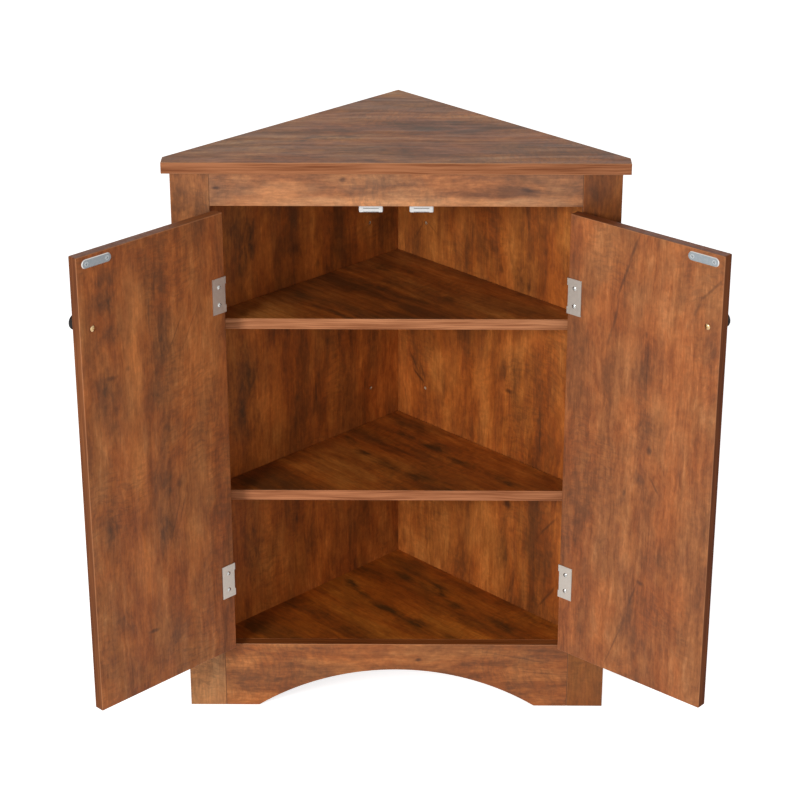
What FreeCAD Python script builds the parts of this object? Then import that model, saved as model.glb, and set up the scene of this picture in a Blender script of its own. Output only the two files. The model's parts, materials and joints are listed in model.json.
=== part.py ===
import FreeCAD, Part
import os
from math import asin, cos, sin, sqrt
from FreeCAD import Vector

# Corner cupboard with two hinged inset doors and two loose shelves, in millimetres.
# The origin is the foot of the body's rear corner. +Y points into the corner of the room,
# the front faces -Y and +Z is up. The doors stand open, turned by their own open angles.

# Body and boards
height = 800.0
body_width = 575.0
board = 15.0
arris = 0.8

# Top board overhangs, the last one square to the walls
top_front_overhang = 8.0
top_side_overhang = 10.0
top_wall_overhang = 7.0

# Front frame
stile_width = 49.5
rail_height = 45.5
apron_height = 98.0
arch_foot = 46.0
arch_rise = 57.5

# Doors and the gaps round them
door_side_gap = 2.0
door_middle_gap = 3.0
door_top_gap = 3.5
door_bottom_gap = 2.5
door_arris = 1.5
left_open_angle = 134.5
right_open_angle = 139.5

# Wrap-round hinges
hinge_height = 49.0
hinge_plate = 21.5
hinge_notch = 0.4
hinge_leaf = 1.0
hinge_leaf_margin = 7.0
hinge_screw_pitch = 24.5
upper_hinge_drop = 111.0
lower_hinge_rise = 108.0
knuckle_radius = 2.7
knuckle_stand_off = 0.3
centre_knuckle = 28.5
knuckle_gap = 0.3
pin_radius = 1.5
pin_running_gap = 0.05
pin_head_radius = 2.3
pin_head_height = 0.8

# Strike plates and magnetic catches
strike_length = 45.5
strike_height = 12.0
strike_thickness = 1.2
strike_rim = 0.8
strike_from_free_edge = 31.0
strike_drop = 10.5
strike_screw_pitch = 32.0
strike_clearance = 0.3
catch_width = 31.0
catch_depth = 13.0
catch_hang = 14.3
catch_flange_height = 18.0
catch_flange_thickness = 4.0
catch_wall = 1.2
catch_round = 1.8
catch_screw_pitch = 18.0
magnet_length = 20.0
magnet_height = 4.0
magnet_depth = 6.0
magnet_rise = 2.7
pole_thickness = 0.8
pole_recess = 0.2

# Knobs
knob_from_free_edge = 19.75
knob_drop = 96.5
knob_radius = 11.0
knob_projection = 24.0
knob_rim_height = 18.5
knob_rim_thickness = 2.0
knob_cup_radius = 8.8
knob_neck_radius = 5.5
knob_shoulder_height = 2.1
knob_base_radius = 8.5
knob_base_thickness = 2.0
knob_hole_depth = 10.0
knob_screw_radius = 2.0
knob_screw_clearance = 0.2
knob_screw_head_radius = 4.0
knob_screw_head_rim = 0.8
knob_screw_head_height = 2.2

# Shelves and their pins
bottom_bay = 213.7
top_bay = 207.8
shelf_setback = 3.7
shelf_side_gap = 1.0
shelf_corner = 20.0
shelf_seat = 0.2
shelf_pin_radius = 2.5
shelf_pin_hole_depth = 10.0
shelf_pin_end_gap = 0.5
shelf_pin_tab_length = 10.0
shelf_pin_tab_width = 7.0
shelf_pin_pitch = 70.0
rear_pin_from_corner = 54.7
front_pin_from_frame = 48.0

# Cross-head screws
screw_radius = 1.5
screw_head_radius = 2.9
screw_head_rim = 0.5
screw_head_height = 1.5
screw_cover = 4.0
recess_length = 3.6
recess_width = 1.1
recess_depth = 0.9

# Knock-down fittings inside the boards
cam_setback = 24.0
cam_radius = 7.5
cam_clearance = 0.2
cam_skin = 2.5
cam_slot_width = 1.6
cam_slot_depth = 3.0
bolt_radius = 2.5
bolt_thread_cover = 4.0
bolt_head_radius = 3.2
bolt_bore_clearance = 0.3
panel_cam_from_corner = 90.0
panel_cam_from_frame = 80.0
rail_cam_from_end = 118.0
rail_end_cam_rise = 12.0
apron_cam_from_end = 128.0
dowel_radius = 3.0
dowel_reach = 12.0
dowel_cover = 6.0
dowel_wall = 1.7
dowel_inset = 14.0
stile_dowel_inset = 60.0
corner_screw_inset = 60.0
corner_screw_count = 4
corner_screw_radius = 2.5
corner_screw_reach = 35.0
corner_screw_head_radius = 5.0
corner_screw_head_height = 4.0

# Planes and edges that the sizes above give
half_body = body_width / 2
front = -(half_body + board)
frame_back = front + board
frame_middle = front + board / 2
inner_corner = -board * sqrt(2)
panel_inner_x = inner_corner - frame_back
wall_run = panel_inner_x * sqrt(2)
opening = half_body - stile_width
top_underside = height - board
rail_bottom = top_underside - rail_height
bottom_underside = apron_height - board
door_low = apron_height + door_bottom_gap
door_high = rail_bottom - door_top_gap
door_hinge_x = opening - door_side_gap
door_free_x = door_middle_gap / 2
pin_x = door_hinge_x + hinge_leaf - knuckle_radius
pin_y = front - knuckle_radius - knuckle_stand_off
strike_x = door_free_x + strike_from_free_edge
strike_z = door_high - strike_drop
catch_face = frame_back + strike_thickness + strike_clearance
screw_bite = board - screw_cover
lower_shelf_underside = apron_height + bottom_bay
upper_shelf_underside = top_underside - top_bay - board

up = Vector(0, 0, 1)
rightward = Vector(1, 0, 0)
backward = Vector(0, 1, 0)
forward = Vector(0, -1, 0)


# Shared shapes


def box(x0, x1, y0, y1, z0, z1):
    return Part.makeBox(x1 - x0, y1 - y0, z1 - z0, Vector(x0, y0, z0))


def slab(outline, z0, z1):
    corners = [Vector(x, y, z0) for x, y in outline]
    face = Part.Face(Part.makePolygon(corners + corners[:1]))
    return face.extrude(Vector(0, 0, z1 - z0))


def rod(start, direction, radius, length):
    return Part.makeCylinder(radius, length, start, direction)


def soften(shape, radius=arris):
    return shape.makeFillet(radius, shape.Edges)


def mirrored(shape):
    return shape.mirror(Vector(), rightward)


def placed(shape, point, direction):
    # Turns a shape drawn along +Z to the given direction and sets it at the point
    shape.Placement = FreeCAD.Placement(point, FreeCAD.Rotation(up, direction))
    return shape


def dome_arc(radius, low, high):
    # From a rim at the low level over to the axis at the high level, drawn round +Z
    rise = high - low
    curve = (radius ** 2 + rise ** 2) / (2 * rise)
    lean = asin(radius / curve) / 2
    brow = Vector(curve * sin(lean), 0, high - curve * (1 - cos(lean)))
    return Part.Arc(Vector(radius, 0, low), brow, Vector(0, 0, high))


def turned(outline):
    face = Part.Face(Part.Wire([piece.toShape() for piece in outline]))
    return face.revolve(Vector(), up, 360)


def cross_recess(level):
    reach = recess_length / 2
    bar = box(-reach, reach, -recess_width / 2, recess_width / 2, level - recess_depth, level)
    return bar.fuse(bar.copy().rotate(Vector(), up, 90))


def pan_headed(head_radius, rim, head_height, shank_radius, reach):
    # Drawn along +Z with the underside of the domed head at the origin
    edge = Vector(head_radius, 0, 0)
    head = turned([
        Part.LineSegment(Vector(), edge),
        Part.LineSegment(edge, Vector(head_radius, 0, rim)),
        dome_arc(head_radius, rim, head_height),
        Part.LineSegment(Vector(0, 0, head_height), Vector()),
    ])
    shank = Part.makeCylinder(shank_radius, reach, Vector(0, 0, -reach))
    return head.fuse(shank).cut(cross_recess(head_height))


def pan_screw(point, outward, reach):
    # The point lies on the face under the head, and the shank runs the other way
    screw = pan_headed(screw_head_radius, screw_head_rim, screw_head_height, screw_radius, reach)
    return placed(screw, point, outward)


def flush_seat(point, outward, reach):
    # The head is sunk level with the face that the point lies on
    sink = screw_head_radius - screw_radius
    head = Part.makeCone(screw_radius, screw_head_radius, sink, Vector(0, 0, -sink))
    shank = Part.makeCylinder(screw_radius, reach, Vector(0, 0, -reach))
    return placed(head.fuse(shank), point, outward)


def flush_screw(seat, point, outward):
    return seat.cut(placed(cross_recess(0), point, outward))


def wall_point(side, along, depth, z):
    # On a side panel: along from the inner rear corner to the front, depth into the board
    x = side * (along + depth) / sqrt(2)
    y = (depth - along) / sqrt(2) + inner_corner
    return Vector(x, y, z)


def into_wall(side):
    return Vector(side / sqrt(2), 1 / sqrt(2), 0)


def to_front(side):
    return Vector(side / sqrt(2), -1 / sqrt(2), 0)


# Boards of the body


def make_top_board():
    half = half_body + top_side_overhang
    reach = top_wall_overhang * sqrt(2)
    edge = front - top_front_overhang
    outline = [(-half, edge), (half, edge), (half, reach - half), (0, reach), (-half, reach - half)]
    return soften(slab(outline, top_underside, height))


def make_side_panel(side):
    # The left panel runs on past the rear corner and covers the end of the right one
    start = 0.0 if side > 0 else -board
    corners = [wall_point(side, start, depth, 0) for depth in (0, board)]
    outline = [(corner.x, corner.y) for corner in corners]
    outline += [(side * half_body, frame_back), (side * panel_inner_x, frame_back)]
    return slab(outline, 0, top_underside)


def make_stile(side):
    stile = box(opening, half_body, front, frame_back, 0, top_underside)
    return soften(stile if side > 0 else mirrored(stile))


def make_top_rail():
    return soften(box(-opening, opening, front, frame_back, rail_bottom, top_underside))


def make_arched_apron():
    half_span = opening - arch_foot
    arch_radius = (half_span ** 2 + arch_rise ** 2) / (2 * arch_rise)
    arch = rod(Vector(0, front - board, arch_rise - arch_radius), backward, arch_radius, 3 * board)
    return soften(box(-opening, opening, front, frame_back, 0, apron_height).cut(arch))


def make_bottom_board():
    outline = [(-panel_inner_x, frame_back), (panel_inner_x, frame_back), (0, inner_corner)]
    return slab(outline, bottom_underside, apron_height)


def make_shelf(underside):
    apex = inner_corner - shelf_side_gap * sqrt(2)
    edge = frame_back + shelf_setback
    half = apex - edge - shelf_corner
    shoulder = edge + shelf_corner
    outline = [(-half, edge), (half, edge), (half, shoulder), (0, apex), (-half, shoulder)]
    return soften(slab(outline, underside, underside + board))


# Shelf pins


def pin_spots():
    alongs = (rear_pin_from_corner, wall_run - front_pin_from_frame)
    return [(side, along) for side in (-1, 1) for along in alongs]


def make_shelf_pin(side, along, underside):
    top = underside - shelf_seat
    middle = top - shelf_pin_radius
    depth = shelf_pin_hole_depth - shelf_pin_end_gap
    plug = rod(wall_point(side, along, 0, middle), into_wall(side), shelf_pin_radius, depth)
    half = shelf_pin_tab_width / 2
    corners = [(-half, 0), (half, 0), (half, -shelf_pin_tab_length), (-half, -shelf_pin_tab_length)]
    outline = [wall_point(side, along + run, reach, 0) for run, reach in corners]
    tab = slab([(corner.x, corner.y) for corner in outline], middle, top)
    return plug.fuse(tab)


def pin_holes(side, underside):
    level = underside - shelf_seat - shelf_pin_radius
    rows = [level + step * shelf_pin_pitch for step in (-1, 0, 1)]
    alongs = [along for spot, along in pin_spots() if spot == side]
    return [rod(wall_point(side, along, 0, row), into_wall(side), shelf_pin_radius, shelf_pin_hole_depth)
            for along in alongs for row in rows]


# Doors with their fittings, drawn closed on the right-hand side


def make_door_panel():
    door = box(door_free_x, door_hinge_x, front, frame_back, door_low, door_high)
    return soften(door, door_arris)


def knuckle(low, high, bore):
    tube = rod(Vector(pin_x, pin_y, low), up, knuckle_radius, high - low)
    return tube, rod(Vector(pin_x, pin_y, low), up, bore, high - low)


def make_door_leaf(middle):
    low = middle - hinge_height / 2
    high = middle + hinge_height / 2
    low_split = middle - centre_knuckle / 2 - knuckle_gap
    high_split = middle + centre_knuckle / 2 + knuckle_gap
    edge = door_hinge_x + hinge_leaf
    face = frame_back + hinge_leaf
    leaf = box(door_hinge_x - hinge_plate, edge, frame_back, face, low, high)
    leaf = leaf.cut(box(door_hinge_x - hinge_notch, edge, frame_back, face, low_split, high_split))
    for start, end in ((low, low_split), (high_split, high)):
        tube, bore = knuckle(start, end, pin_radius + pin_running_gap)
        strap = box(door_hinge_x, edge, pin_y, face, start, end)
        leaf = leaf.fuse([strap, tube]).cut(bore)
    return leaf.removeSplitter()


def frame_plate():
    return stile_width - board * sqrt(2) - hinge_leaf_margin


def make_frame_leaf(middle):
    low = middle - hinge_height / 2
    low_split = middle - centre_knuckle / 2
    high_split = middle + centre_knuckle / 2
    face = frame_back + hinge_leaf
    nose = pin_y - hinge_leaf / 2
    plate = box(opening, opening + frame_plate(), frame_back, face, low, low + hinge_height)
    strap = box(opening - hinge_leaf, opening, nose, face, low_split, high_split)
    bridge = box(pin_x, opening, nose, nose + hinge_leaf, low_split, high_split)
    tube, bore = knuckle(low_split, high_split, pin_radius)
    return plate.fuse([strap, bridge, tube]).cut(bore).removeSplitter()


def make_hinge_pin(middle):
    low = middle - hinge_height / 2 - knuckle_gap
    high = middle + hinge_height / 2 + knuckle_gap
    stem = rod(Vector(pin_x, pin_y, low), up, pin_radius, high - low)
    foot = rod(Vector(pin_x, pin_y, low - pin_head_height), up, pin_head_radius, pin_head_height)
    cap = rod(Vector(pin_x, pin_y, high), up, pin_head_radius, pin_head_height)
    return stem.fuse([foot, cap])


def hinge_screws(middle, x):
    levels = (middle - hinge_screw_pitch / 2, middle + hinge_screw_pitch / 2)
    seats = [Vector(x, frame_back + hinge_leaf, level) for level in levels]
    return [pan_screw(seat, backward, hinge_leaf + screw_bite) for seat in seats]


def make_strike_plate():
    half = (strike_length - strike_height) / 2
    radius = strike_height / 2
    plate = box(strike_x - half, strike_x + half, frame_back, frame_back + strike_thickness,
                strike_z - radius, strike_z + radius)
    for end in (strike_x - half, strike_x + half):
        plate = plate.fuse(rod(Vector(end, frame_back, strike_z), backward, radius, strike_thickness))
    plate = plate.removeSplitter()
    face = frame_back + strike_thickness
    rim = [edge for edge in plate.Edges if edge.BoundBox.YMin > face - strike_thickness / 2]
    return plate.makeChamfer(strike_rim, rim)


def strike_screw_parts():
    # The seats are cut into the plate and the door, and the screws fill them
    offsets = (-strike_screw_pitch / 2, strike_screw_pitch / 2)
    spots = [Vector(strike_x + offset, frame_back + strike_thickness, strike_z) for offset in offsets]
    seats = [flush_seat(spot, backward, strike_thickness + screw_bite) for spot in spots]
    return seats, [flush_screw(seat, spot, backward) for seat, spot in zip(seats, spots)]


def make_knob():
    shoulder = knob_base_thickness + knob_shoulder_height
    waist = (shoulder + knob_rim_height) / 2
    under_rim = knob_rim_height - knob_rim_thickness
    hole_mouth = Vector(knob_screw_radius, 0, 0)
    hole_end = Vector(knob_screw_radius, 0, knob_hole_depth)
    hole_centre = Vector(0, 0, knob_hole_depth)
    base = Vector(knob_base_radius, 0, 0)
    base_edge = Vector(knob_base_radius, 0, knob_base_thickness)
    neck = Vector(knob_neck_radius, 0, shoulder)
    cup = Vector(knob_cup_radius, 0, under_rim)
    rim = Vector(knob_radius, 0, knob_rim_height)
    crown = Vector(0, 0, knob_projection)
    return turned([
        Part.LineSegment(hole_mouth, base),
        Part.LineSegment(base, base_edge),
        Part.LineSegment(base_edge, neck),
        Part.Arc(neck, Vector(knob_neck_radius, 0, waist), cup),
        Part.LineSegment(cup, rim),
        dome_arc(knob_radius, knob_rim_height, knob_projection),
        Part.LineSegment(crown, hole_centre),
        Part.LineSegment(hole_centre, hole_end),
        Part.LineSegment(hole_end, hole_mouth),
    ])


def knob_spot(y):
    return Vector(door_free_x + knob_from_free_edge, y, door_high - knob_drop)


def make_knob_screw():
    screw = pan_headed(knob_screw_head_radius, knob_screw_head_rim, knob_screw_head_height,
                       knob_screw_radius, board + knob_hole_depth)
    return placed(screw, knob_spot(frame_back), backward)


def catch_parts():
    left = strike_x - catch_width / 2
    right = strike_x + catch_width / 2
    low = rail_bottom - catch_hang
    flange_face = frame_back + catch_flange_thickness
    flange = box(left, right, frame_back, flange_face, rail_bottom, rail_bottom + catch_flange_height)
    housing = box(left, right, catch_face, frame_back + catch_depth, low, rail_bottom)
    hanging = [edge for edge in housing.Edges if edge.BoundBox.ZMin < rail_bottom - catch_hang / 2]
    housing = housing.makeFillet(catch_round, hanging)
    recess = catch_face + pole_recess
    cover = catch_face + catch_wall
    end = catch_face + magnet_depth
    sides = (strike_x - magnet_length / 2, strike_x + magnet_length / 2)
    magnet_low = low + magnet_rise - magnet_height / 2 + pole_thickness
    magnet_high = magnet_low + magnet_height
    magnet = box(*sides, cover, end, magnet_low, magnet_high)
    pole_levels = (magnet_low - pole_thickness, magnet_high)
    poles = [box(*sides, recess, end, level, level + pole_thickness) for level in pole_levels]
    slots = [box(*sides, catch_face, end, level, level + pole_thickness) for level in pole_levels]
    level = rail_bottom + catch_flange_height / 2
    seats = [Vector(strike_x + offset, flange_face, level)
             for offset in (-catch_screw_pitch / 2, catch_screw_pitch / 2)]
    screws = [pan_screw(seat, backward, catch_flange_thickness + screw_bite) for seat in seats]
    body = flange.fuse(housing).removeSplitter().cut(slots + [magnet] + screws)
    return body, magnet, poles, screws


# Knock-down fittings


def cam_fitting(joint, inward, open_face):
    # The joint point is at mid thickness, inward runs into the board that holds the disc
    thread = board - bolt_thread_cover
    centre = joint + inward * cam_setback
    shank = rod(joint - inward * thread, inward, bolt_radius, thread + cam_setback)
    bolt = shank.fuse(Part.makeSphere(bolt_head_radius, centre, inward))
    bore = rod(joint, inward, bolt_head_radius + bolt_bore_clearance, cam_setback + bolt_head_radius)
    floor = centre - open_face * (board / 2 - cam_skin)
    pocket = rod(floor, open_face, cam_radius, board - cam_skin)
    slot = box(-cam_radius, cam_radius, -cam_slot_width / 2, cam_slot_width / 2, -cam_slot_depth, 0)
    slot = placed(slot, centre + open_face * (board / 2), open_face)
    disc = rod(floor, open_face, cam_radius - cam_clearance, board - cam_skin).cut([bore, slot])
    return {"bolt": bolt, "disc": disc, "thread": shank, "seat": bore.fuse(pocket)}


def cam_joints():
    # Board with the bolt, board with the disc, and the fitting
    joints = []
    for side, name in ((-1, "left"), (1, "right")):
        panel = name + "_side_panel"
        stile = name + "_stile"
        across = Vector(side, 0, 0)
        for along in (panel_cam_from_corner, wall_run - panel_cam_from_frame):
            head = wall_point(side, along, board / 2, top_underside)
            joints.append(("top_board", panel, cam_fitting(head, -up, -into_wall(side))))
            edge = wall_point(side, along, 0, apron_height - board / 2)
            joints.append((panel, "bottom_board", cam_fitting(edge, -into_wall(side), -up)))
        rail_x = side * (opening - rail_cam_from_end)
        head = Vector(rail_x, frame_middle, top_underside)
        joints.append(("top_board", "top_rail", cam_fitting(head, -up, backward)))
        end = Vector(side * opening, frame_middle, rail_bottom + rail_end_cam_rise)
        joints.append((stile, "top_rail", cam_fitting(end, -across, backward)))
        apron_x = side * (opening - apron_cam_from_end)
        edge = Vector(apron_x, frame_back, apron_height - board / 2)
        joints.append(("arched_apron", "bottom_board", cam_fitting(edge, backward, -up)))
        end = Vector(side * opening, frame_middle, apron_height / 2)
        joints.append((stile, "arched_apron", cam_fitting(end, -across, backward)))
    return joints


def dowel_joints():
    # Two boards and the dowel that keys them
    joints = []
    for side, name in ((-1, "left"), (1, "right")):
        stile = name + "_stile"
        across = Vector(side, 0, 0)
        levels = [("top_rail", top_underside - dowel_inset)]
        levels += [("arched_apron", z) for z in (dowel_inset, bottom_underside - dowel_inset / 2)]
        for cross_piece, z in levels:
            start = Vector(side * (opening - dowel_reach), frame_middle, z)
            joints.append((stile, cross_piece, rod(start, across, dowel_radius, 2 * dowel_reach)))
        x = side * (panel_inner_x + dowel_radius + dowel_wall)
        grip = board - dowel_cover
        for z in (stile_dowel_inset, top_underside / 2, top_underside - stile_dowel_inset):
            start = Vector(x, frame_back - grip, z)
            joints.append((stile, name + "_side_panel", rod(start, backward, dowel_radius, 2 * grip)))
    return joints


def corner_screws():
    # Run through the left panel into the end of the right one
    spacing = (top_underside - 2 * corner_screw_inset) / (corner_screw_count - 1)
    screws = []
    for number in range(corner_screw_count):
        z = corner_screw_inset + number * spacing
        start = wall_point(1, -board, board / 2, z)
        head = rod(start, to_front(1), corner_screw_head_radius, corner_screw_head_height)
        shank = rod(start, to_front(1), corner_screw_radius, board + corner_screw_reach)
        screws.append(head.fuse(shank))
    return screws


# The whole cupboard, node by node

hinge_levels = {"upper": door_high - upper_hinge_drop, "lower": door_low + lower_hinge_rise}
shelf_levels = {"upper": upper_shelf_underside, "lower": lower_shelf_underside}

boards = {
    "top_board": make_top_board(),
    "left_side_panel": make_side_panel(-1),
    "right_side_panel": make_side_panel(1),
    "left_stile": make_stile(-1),
    "right_stile": make_stile(1),
    "top_rail": make_top_rail(),
    "arched_apron": make_arched_apron(),
    "bottom_board": make_bottom_board(),
}
cuts = {name: [] for name in boards}
nodes = {}

cams = cam_joints()
for bolt_board, disc_board, fitting in cams:
    cuts[bolt_board].append(fitting["thread"])
    cuts[disc_board].append(fitting["seat"])
nodes["cam_bolts"] = Part.makeCompound([fitting["bolt"] for first, second, fitting in cams])
nodes["cam_discs"] = Part.makeCompound([fitting["disc"] for first, second, fitting in cams])

dowels = dowel_joints()
for first_board, second_board, dowel in dowels:
    cuts[first_board].append(dowel)
    cuts[second_board].append(dowel)
nodes["frame_dowels"] = Part.makeCompound([dowel for first, second, dowel in dowels])

joining_screws = corner_screws()
for name in ("left_side_panel", "right_side_panel"):
    cuts[name] += joining_screws
nodes["corner_screws"] = Part.makeCompound(joining_screws)

for level_name, underside in shelf_levels.items():
    nodes[level_name + "_shelf"] = make_shelf(underside)
    pins = [make_shelf_pin(side, along, underside) for side, along in pin_spots()]
    nodes[level_name + "_shelf_pins"] = Part.makeCompound(pins)
    for side, name in ((-1, "left_side_panel"), (1, "right_side_panel")):
        cuts[name] += pin_holes(side, underside)

catch_body, magnet, poles, catch_screws = catch_parts()
cuts["top_rail"] += catch_screws + [mirrored(screw) for screw in catch_screws]
frame_screws = []
door_screws = []
for middle in hinge_levels.values():
    frame_screws += hinge_screws(middle, opening + frame_plate() / 2)
    door_screws += hinge_screws(middle, door_hinge_x - hinge_plate / 2)
cuts["right_stile"] += frame_screws
cuts["left_stile"] += [mirrored(screw) for screw in frame_screws]

for name, shape in boards.items():
    nodes[name] = shape.cut(cuts[name])

# Pieces drawn on the right that have a twin on the left
fixed = {
    "catch_body": catch_body,
    "catch_magnet": magnet,
    "catch_poles": Part.makeCompound(poles),
    "catch_screws": Part.makeCompound(catch_screws),
    "hinge_frame_screws": Part.makeCompound(frame_screws),
}
knob_screw = make_knob_screw()
strike_seats, strike_screws = strike_screw_parts()
knob_hole = rod(knob_spot(front), backward, knob_screw_radius + knob_screw_clearance, board)
hung = {
    "door_panel": make_door_panel().cut(door_screws + strike_seats + [knob_hole]),
    "strike_plate": make_strike_plate().cut(strike_seats),
    "strike_screws": Part.makeCompound(strike_screws),
    "knob": placed(make_knob(), knob_spot(front), forward),
    "knob_screw": knob_screw,
    "hinge_door_screws": Part.makeCompound(door_screws),
}
for level_name, middle in hinge_levels.items():
    fixed[level_name + "_hinge_frame_leaf"] = make_frame_leaf(middle).cut(frame_screws)
    fixed[level_name + "_hinge_pin"] = make_hinge_pin(middle)
    hung[level_name + "_hinge_door_leaf"] = make_door_leaf(middle).cut(door_screws)

for name, shape in fixed.items():
    nodes["right_" + name] = shape
    nodes["left_" + name] = mirrored(shape)
for name, shape in hung.items():
    nodes["right_" + name] = shape.copy().rotate(Vector(pin_x, pin_y, 0), up, right_open_angle)
    nodes["left_" + name] = mirrored(shape).rotate(Vector(-pin_x, pin_y, 0), up, -left_open_angle)

os.makedirs("parts", exist_ok=True)
for name, shape in nodes.items():
    shape.exportStep("parts/" + name + ".step")
print(len(nodes), "nodes, hinge pins at x", pin_x, "y", pin_y)
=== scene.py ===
import json
import math

import bmesh
import bpy
from mathutils import Matrix, Vector

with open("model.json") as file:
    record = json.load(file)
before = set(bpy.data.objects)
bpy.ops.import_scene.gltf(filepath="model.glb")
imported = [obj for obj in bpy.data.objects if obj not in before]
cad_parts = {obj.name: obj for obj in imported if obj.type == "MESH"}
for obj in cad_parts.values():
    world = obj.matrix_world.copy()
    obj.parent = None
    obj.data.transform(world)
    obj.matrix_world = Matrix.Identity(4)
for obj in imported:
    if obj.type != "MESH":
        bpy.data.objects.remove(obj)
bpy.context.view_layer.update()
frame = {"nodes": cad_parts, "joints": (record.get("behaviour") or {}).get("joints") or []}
nodes = frame["nodes"]
joints = {joint["name"]: joint for joint in frame["joints"]}


# small helpers for node trees

def feed(tree, socket, value):
    if isinstance(value, bpy.types.NodeSocket):
        tree.links.new(value, socket)
    else:
        socket.default_value = value


def put(tree, kind, inputs=None, **settings):
    node = tree.nodes.new("ShaderNode" + kind)
    for name, value in settings.items():
        setattr(node, name, value)
    for key, value in (inputs or {}).items():
        feed(tree, node.inputs[key], value)
    return node


def calc(tree, operation, first, second=0.0):
    return put(tree, "Math", {0: first, 1: second}, operation=operation).outputs[0]


def vec(tree, operation, first, second):
    return put(tree, "VectorMath", {0: first, 1: second}, operation=operation).outputs[0]


def fit(tree, value, low, high, toLow=0.0, toHigh=1.0):
    limits = {"Value": value, "From Min": low, "From Max": high, "To Min": toLow, "To Max": toHigh}
    return put(tree, "MapRange", limits, interpolation_type="SMOOTHSTEP").outputs[0]


def tint(tree, factor, first, second, blend="MIX"):
    return put(tree, "Mix", {0: factor, 6: first, 7: second}, data_type="RGBA", blend_type=blend).outputs[2]


def noise(tree, vector, scale, detail=2.0, rough=0.5):
    spread = put(tree, "Mapping", {"Vector": vector, "Scale": scale}).outputs[0]
    return put(tree, "TexNoise", {"Vector": spread, "Scale": 1.0, "Detail": detail, "Roughness": rough}).outputs


def wander(tree, vector, scale, reach, detail=2.0):
    centred = vec(tree, "SUBTRACT", noise(tree, vector, scale, detail)["Color"], (0.5, 0.5, 0.5))
    return vec(tree, "MULTIPLY", centred, reach)


def colourRamp(tree, value, stops):
    ramp = put(tree, "ValToRGB", {"Fac": value})
    elements = ramp.color_ramp.elements
    while len(elements) < len(stops):
        elements.new(0.5)
    for element, (position, colour) in zip(elements, stops):
        element.position = position
        element.color = (*colour, 1.0)
    return ramp.outputs[0]


def newGroup(name, inputs, outputs):
    tree = bpy.data.node_groups.new(name, "ShaderNodeTree")
    for label, kind in inputs.items():
        tree.interface.new_socket(label, in_out="INPUT", socket_type="NodeSocket" + kind)
    for label, kind in outputs.items():
        tree.interface.new_socket(label, in_out="OUTPUT", socket_type="NodeSocket" + kind)
    return tree, tree.nodes.new("NodeGroupInput").outputs, tree.nodes.new("NodeGroupOutput").inputs


def useGroup(tree, group, inputs):
    return put(tree, "Group", inputs, node_tree=group).outputs


def newMaterial(name, constants):
    material = bpy.data.materials.new(name)
    material.use_nodes = True
    tree = material.node_tree
    shader = tree.nodes["Principled BSDF"]
    for label, value in constants.items():
        shader.inputs[label].default_value = value
    return material, tree, shader


def addBump(tree, shader, height, strength, distance):
    bump = put(tree, "Bump", {"Height": height, "Strength": strength, "Distance": distance})
    tree.links.new(bump.outputs[0], shader.inputs["Normal"])


# walnut-print laminate: board coordinates are across, along and through the board, in metres

walnut = {
    "deep": (0.146, 0.045, 0.0130),
    "brown": (0.285, 0.082, 0.0190),
    "warm": (0.410, 0.128, 0.0290),
    "light": (0.560, 0.200, 0.0520),
    "smokeAndShade": (0.086, 0.037, 0.0145, 1.0),
    "redCast": (1.05, 0.965, 0.88, 1.0),
    "oliveCast": (0.95, 1.035, 1.12, 1.0),
    "glow": (0.580, 0.205, 0.0520, 1.0),
    "vein": (0.078, 0.028, 0.0110, 1.0),
    "knot": (0.040, 0.015, 0.0070, 1.0),
    "bandDeep": (0.240, 0.074, 0.0220),
    "bandLight": (0.490, 0.190, 0.0720),
    "arris": (0.620, 0.290, 0.1350, 1.0),
    "chipDark": (0.700, 0.520, 0.3600),
    "chipLight": (0.900, 0.740, 0.5600),
}


# layers that follow the bent grain, and layers that stay straight
bentLayers = {
    "plank": {"scale": (16.0, 1.0, 16.0), "detail": 2.0},
    "flame": {"scale": (15.0, 4.8, 15.0), "detail": 5.0, "rough": 0.60},
    "fleck": {"scale": (48.0, 20.0, 48.0), "detail": 5.0, "rough": 0.60},
    "streak": {"scale": (120.0, 5.0, 120.0), "detail": 4.0, "rough": 0.6},
    "grit": {"scale": (165.0, 80.0, 165.0), "detail": 3.0, "rough": 0.6},
    "pore": {"scale": (250.0, 140.0, 250.0), "detail": 3.0, "rough": 0.65},
    "drift": {"scale": (20.0, 8.0, 20.0), "detail": 4.0, "rough": 0.6},
    "cloud": {"scale": (11.0, 4.6, 11.0), "detail": 6.0, "rough": 0.64},
    "ripple": {"scale": (60.0, 200.0, 60.0), "detail": 3.0, "rough": 0.6},
    "figure": {"scale": (6.5, 1.2, 6.5), "detail": 1.0},
}
straightLayers = {
    "fibre": {"scale": (420.0, 40.0, 420.0), "detail": 3.0, "rough": 0.6},
    "rippleZone": {"scale": (11.0, 6.0, 11.0), "detail": 2.0},
    "contourZone": {"scale": (9.0, 4.5, 9.0), "detail": 3.0},
}
# how far each layer swings the wood from dark to light
swings = {"plank": 0.28, "flame": 0.25, "fleck": 0.20, "streak": 0.15, "grit": 0.08}
grainShape = {
    "broadBend": {"scale": (4.5, 1.5, 4.5), "reach": (0.05, 0.08, 0.05)},
    "smallBend": {"scale": (26.0, 12.0, 26.0), "reach": (0.016, 0.024, 0.016), "detail": 4.0},
    "darkest": 0.415, "lightest": 0.585,
    "ringStep": 0.045, "ringCore": 0.0006, "ringRim": 0.0035,
    "knotCells": (9.0, 6.0, 9.0), "knotCore": 0.02, "knotRim": 0.09, "knotDepth": 0.8,
}


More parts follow.
